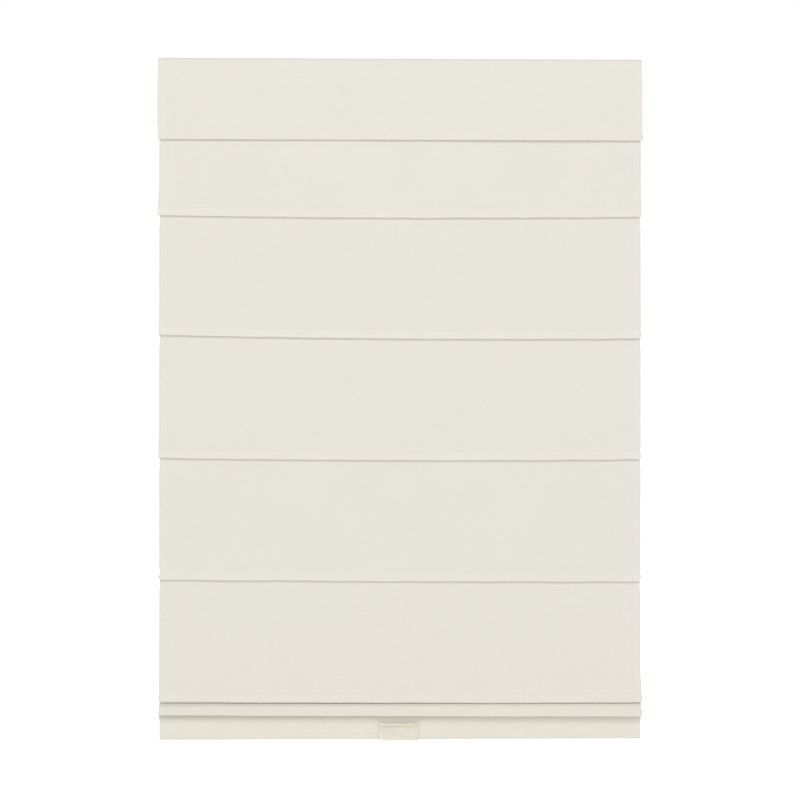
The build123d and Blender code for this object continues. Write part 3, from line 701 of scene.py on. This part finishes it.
across_cloth, down_cloth, _ = cream.along(cream.node("UVMap", {"uv_map": "threads"}))
off_middle = across_cloth.size()
doubled = off_middle.over((half_width - side_hem - 0.3) * MM, (half_width - side_hem) * MM) * 0.5
pressed = line_at(off_middle, half_width - side_hem) + line_at(off_middle, half_width - side_hem + 4) * 0.5
for edge in fold_places:
    seam = edge - fold_lap
    doubled = doubled + down_cloth.over(seam * MM, (seam + 0.5) * MM) * (
        1 - down_cloth.over(edge * MM, (edge + 1.0) * MM)
    )
    pressed = pressed + line_at(down_cloth, seam)
lap_tone = cream.blend_colours(doubled * 0.12, cream.tone, colour(224, 221, 211))
pressed_tone = cream.blend_colours(pressed * 0.15, lap_tone, colour(190, 184, 166))
# Painted shadow: the crease under the small fold is darkened in the cloth's colour.
painted_crease_shadow = line_at(down_cloth, crease, 6.0)
tone_with_painted_shadow = cream.blend_colours(painted_crease_shadow * 0.45, pressed_tone, colour(176, 168, 140))
# Painted shade: the cloth turns warmer and a little darker towards the bottom, where the light falls off.
painted_falloff = down_cloth.over(fold_places[3] * MM, (fold_places[4] + 60.0) * MM)
cream.set(Base_Color=cream.blend_colours(painted_falloff * 0.2, tone_with_painted_shadow, colour(211, 205, 183)))
cream.bump(cream.height - pressed * 2.0, 0.06 * MM)
print("seams at", [round(edge - fold_lap) for edge in fold_places], "mm along the cloth")

# %% [markdown]
# ## The valance
# The valance is a flap of the same cloth over the headrail. It hangs from its own loop
# strip, leans out over the folds, and ends in a narrow hem turned up behind. It stays
# with the head, so it needs no blend.

# %% Valance
valance_y = cloth_top_y - cloth - (loop_tape_high.y - loop_tape_low.y)
valance_r = 0.5
valance_turn = (fold_y[0] - cloth - 0.3 - valance_r, valance_low.z + cloth / 2 + valance_r)
lean_end = (valance_turn[0] - valance_r, valance_turn[1] + 24.0)
flap = Profile(valance_y, valance_high.z).run(valance_y, bend_z, step=4.0)
first = len(flap.points)
flap.through([(valance_y, bend_z - 4.0), lean_end, (lean_end[0], valance_turn[1] + 4.0)], 30.0)
flap.run(lean_end[0], valance_turn[1], step=2.0)
last = len(flap.points) - 1
flap.turn(valance_turn, valance_r, 180, 180)
flap.run(valance_turn[0] + valance_r, valance_turn[1] + 20.0, step=5.0)
valance = hang(
    "valance_cloth", flap, valance_high.x, 0.0,
    flare=lambda z, a: 0.8 if a < 0 else 2.0 * math.exp(-(((z - valance_low.z) / 14.0) ** 2)),
    hem=(first + 1, last - 8), belly=0.0,
)
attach(valance, "head")
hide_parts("valance")
flap.lengths()[-1] * MM
print("valance cut length:", round(flap.lengths()[-1]), "mm")


# %% [markdown]
# ## Rod pockets
# Each rod lies in a pocket of thin tape, folded round it and sewn to the back of the
# cloth. Gaps are left where the cord eyes grip the rod. The tape's section is a loop
# with a short doubled edge, and faces are left out at the gaps.

# %% Pockets
pocket_r = 2.7             # outside of the loop round a rod
pocket_end = 393.0         # blind's middle to a pocket's end
eye_gap = 5                # half the gap left for a cord eye


def pocket(n):
    """The tape round a rod, as a looped section carried across the cloth."""
    y, z, top = rod_y, rod_z[n], rib_line[n] - 1.0
    r = pocket_r - pocket_cloth / 2
    section = Profile(y - r, top).run(y - r, z, step=2.0)
    section.turn((y, z), r, 180, 300, parts=26)
    section.through([(y - r + 0.5, z + r + 0.3), (y - r + 0.5, top)], 0.6, parts=5)
    run = section.lengths()
    stops = [-pocket_end]
    eyes = [-cord_x - eye_gap, -cord_x + eye_gap, cord_x - eye_gap, cord_x + eye_gap]
    for x in eyes + [pocket_end]:
        parts = max(1, round((x - stops[-1]) / 12))
        stops += [stops[-1] + (x - stops[-1]) * i / parts for i in range(1, parts + 1)]
    points, threads, faces = [], [], []
    for (py, pz), s in zip(section.points, run):
        for x in stops:
            points.append((x, py, pz))
            threads.append((x * MM, s * MM))
    wide = len(stops)
    for row in range(len(run) - 1):
        for c in range(wide - 1):
            at_eye = abs(abs((stops[c] + stops[c + 1]) / 2) - cord_x) < eye_gap
            if at_eye and section.points[row][0] > y - 1.9:
                continue
            a = row * wide + c
            faces.append((a, a + 1, a + wide + 1, a + wide))
    made = piece_of(f"pocket_{n + 1}", points, faces, threads, "lining_cloth", pocket_cloth)
    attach(made, bodies[n + 1])
    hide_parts(f"rod_pocket_{n + 1}")
    run[-1] * MM
    return made


pockets = [pocket(n) for n in range(5)]
print("pockets:", [p.name for p in pockets])


# %% [markdown]
# ## Stitching
# Lockstitch shows as a row of short, slightly arched threads, sunk at both ends where
# they go through the cloth. The rows hold the pockets and the hem's back edge, and a
# few stitches tack each top corner of the valance. They are small, but they are what
# the eye looks for in sewn work, so each one is a shape.

# %% Stitches
def stitches(name, body, rows, pitch=4.0, reach=2.8, thick=0.25):
    """Rows of stitches. Each row is two ends in x, then y and z, and 1 or -1 for back or front."""
    points, threads, faces = [], [], []
    rings, sides = 7, 6
    for x0, x1, y, z, out in rows:
        count = max(1, round((x1 - x0) / pitch))
        for i in range(count):
            middle, first = x0 + (x1 - x0) * (i + 0.5) / count, len(points)
            for ring in range(rings):
                arch = math.sin(math.pi * (ring + 0.5) / rings)
                for side in range(sides):
                    angle = 2 * math.pi * side / sides
                    points.append((
                        middle + (ring / (rings - 1) - 0.5) * reach,
                        y + out * thick * (arch * 1.2 - 0.6) + thick * arch * math.cos(angle),
                        z + thick * arch * math.sin(angle),
                    ))
                    threads.append((ring * thick * MM, side * thick * MM))
            for ring in range(rings - 1):
                for side in range(sides):
                    a, b = first + ring * sides + side, first + ring * sides + (side + 1) % sides
                    faces.append((a, b, b + sides, a + sides))
            faces.append(tuple(range(first, first + sides))[::-1])
            faces.append(tuple(range(len(points) - sides, len(points))))
    row_piece = piece_of(name, points, faces, threads, "sewing_thread", 0)
    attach(row_piece, body)
    print(name, "has", len(faces) // (sides * (rings - 1) + 2), "stitches")


for n, z in enumerate(rod_z):
    gaps = [(-390.0, -cord_x - 6), (-cord_x + 6, cord_x - 6), (cord_x + 6, 390.0)]
    stitches(
        f"pocket_stitches_{n + 1}", bodies[n + 1],
        [(x0, x1, rod_y - 1.7, z + 3.8, 1) for x0, x1 in gaps],
    )
stitches("hem_stitches", "bottom_rail", [(-388.0, 388.0, seam_y + cloth / 2, seam_z + 1.5, 1)])
stitches(
    "valance_tacks", "head",
    [(x - 3, x + 3, valance_y - cloth / 2, valance_high.z - 12, -1) for x in (-393.0, 393.0)],
    pitch=3.0, reach=2.6,
)


# %% [markdown]
# ## Lift cords
# A lift cord runs down the back from its spool, through an eye on each rib, to an anchor
# in the bottom bar, and it is pulled straight by the blind's own weight. It is made in
# lengths between the ribs, as the real cord shortens between ribs that come together
# when it winds on to the spool. The first length rides on the head and the last on the
# bottom rail; the lengths between stay where they are made.

# %% Cords
def tube(name, path, radius, sides=10):
    """A round cord along points in millimetres that lie in one plane across X."""
    points, threads, faces = [], [], []
    for i, p in enumerate(path):
        before, after = path[max(i - 1, 0)], path[min(i + 1, len(path) - 1)]
        ahead = (Vector(after) - Vector(before)).normalized()
        side = Vector((1, 0, 0))
        out = ahead.cross(side)
        for k in range(sides):
            angle = 2 * math.pi * k / sides
            points.append(Vector(p) + (side * math.cos(angle) + out * math.sin(angle)) * radius)
            threads.append((0.0, 0.0))
    for i in range(len(path) - 1):
        for k in range(sides):
            a, b = i * sides + k, i * sides + (k + 1) % sides
            faces.append((a, b, b + sides, a + sides))
    faces.append(tuple(range(sides))[::-1])
    faces.append(tuple(len(points) - sides + k for k in range(sides)))
    return piece_of(name, points, faces, threads, "white_cord", 0)


cord_low, cord_high = box_mm("lift_cord_right")
shaft_low, shaft_high = box_mm("lift_shaft")
shaft_y, shaft_z = (shaft_low.y + shaft_high.y) / 2, (shaft_low.z + shaft_high.z) / 2
cord_r, knot_r = 0.7, 1.8
below_spool, below_guide = -12.0, -21.0   # heights the cord's first length passes
above_knot = 20            # last length's straight run above its knot
cord_y = cord_low.y + knot_r
arc_r = shaft_y - cord_y
for side, x in (("left", -cord_x), ("right", cord_x)):
    over_spool = [
        (x, shaft_y + arc_r * math.cos(math.radians(a)), shaft_z + arc_r * math.sin(math.radians(a)))
        for a in range(0, 181, 12)
    ]
    stops = [below_guide] + rod_z
    down = [(x, cord_y, below_spool), (x, cord_y, stops[0])]
    lengths = [tube(f"cord_{side}_head", over_spool + down, cord_r)]
    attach(lengths[0], "head")
    for n in range(5):
        high, low = stops[n], stops[n + 1]
        drop = [(x, cord_y, high + (low - high) * i / 24) for i in range(25)]
        length = tube(f"cord_{side}_{n + 1}", drop, cord_r)
        x * MM
        x * MM
        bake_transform(length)
        lengths.append(length)
    foot_z = cord_low.z + knot_r
    to_knot = [(x, cord_y, z) for z in (stops[-1], foot_z + above_knot, foot_z)]
    tail = tube(f"cord_{side}_foot", to_knot, cord_r)
    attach(tail, "bottom_rail")
    lengths.append(tail)
    for length in lengths:
        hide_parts(f"lift_cord_{side}")
print("cords at x", round(cord_x, 1), "y", round(cord_y, 1))


# %% [markdown]
# ## Camera and light
# A long lens from five metres keeps the blind's sides parallel. The camera stands
# slightly to the left of the middle, so the left side is a hair taller. The light is a
# white room with one broad softbox above and in front: the room fills the cloth evenly,
# and the softbox draws the thin shadow under each fold.

# %% Camera
distance, wide_view = 5000.0, 1332.0
yaw, roll = -1.75, 0.036
aim = Vector((-0.85, -60.0, -549.3))
cam = bpy.data.cameras.new("camera")
cam.lens = cam.sensor_width * distance / wide_view
camera = bpy.data.objects.new("camera", cam)
bpy.context.scene.collection.objects.link(camera)
toward = Vector((math.sin(math.radians(yaw)), -math.cos(math.radians(yaw)), 0))
camera.location = (aim + toward * distance) * MM
camera.rotation_mode = "QUATERNION"
camera.rotation_quaternion = (-toward).to_track_quat("-Z", "Y")
camera.rotation_mode = "XYZ"
camera.rotation_euler.rotate_axis("Z", math.radians(roll))
cam.clip_end = 60
bpy.context.scene.camera = camera
print("lens", round(cam.lens, 1), "mm")

# %% Light and floor
world = bpy.data.worlds.new("white room")
bpy.context.scene.world = world
world.use_nodes = True
room = Shading(world.node_tree)
_, backward, upward = room.along(room.node("TexCoord", out="Generated"))
walls = 1.02 - upward.over(0.3, 0.75) * 0.67
glow = room.tree.nodes["Background"].inputs
behind_blind = 0.95 + backward.over(-0.2, 0.3) * 0.05
room.join(glow["Strength"], walls * behind_blind)
glow["Color"].default_value = (1, 1, 1, 1)


def softbox(name, place, target, size, power):
    light = bpy.data.lights.new(name, "AREA")
    light.shape, light.size, light.size_y, light.energy = "RECTANGLE", *size, power
    lamp = bpy.data.objects.new(name, light)
    lamp.location = place
    lamp.rotation_mode = "QUATERNION"
    lamp.rotation_quaternion = (Vector(target) - Vector(place)).to_track_quat("-Z", "Y")
    bpy.context.scene.collection.objects.link(lamp)


softbox("key", (0.0, -6.8, 6.8), (0, 0, -0.7), (7.0, 4.0), 450)

floor_paint = Finish("floor", Roughness=0.9, Base_Color=colour(248, 248, 247), Emission_Strength=0.66)
_, behind, _ = floor_paint.along(floor_paint.place())
floor_paint.set(
    Emission_Color=floor_paint.blend_colours(behind.over(0.5, 3.0), (0.6, 0.6, 0.6, 1), (1, 1, 1, 1))
)
floor_mesh = bpy.data.meshes.new("floor")
half_floor, floor_z = 30, -1.7
corners = [(-1, -1), (1, -1), (1, 1), (-1, 1)]
floor_mesh.from_pydata(
    [(half_floor * i, half_floor * j, floor_z) for i, j in corners], [], [(0, 1, 2, 3)]
)
floor_mesh.materials.append(floor_paint.material)
floor = bpy.data.objects.new("floor", floor_mesh)
bpy.context.scene.collection.objects.link(floor)
bpy.context.scene.view_settings.view_transform = "Standard"
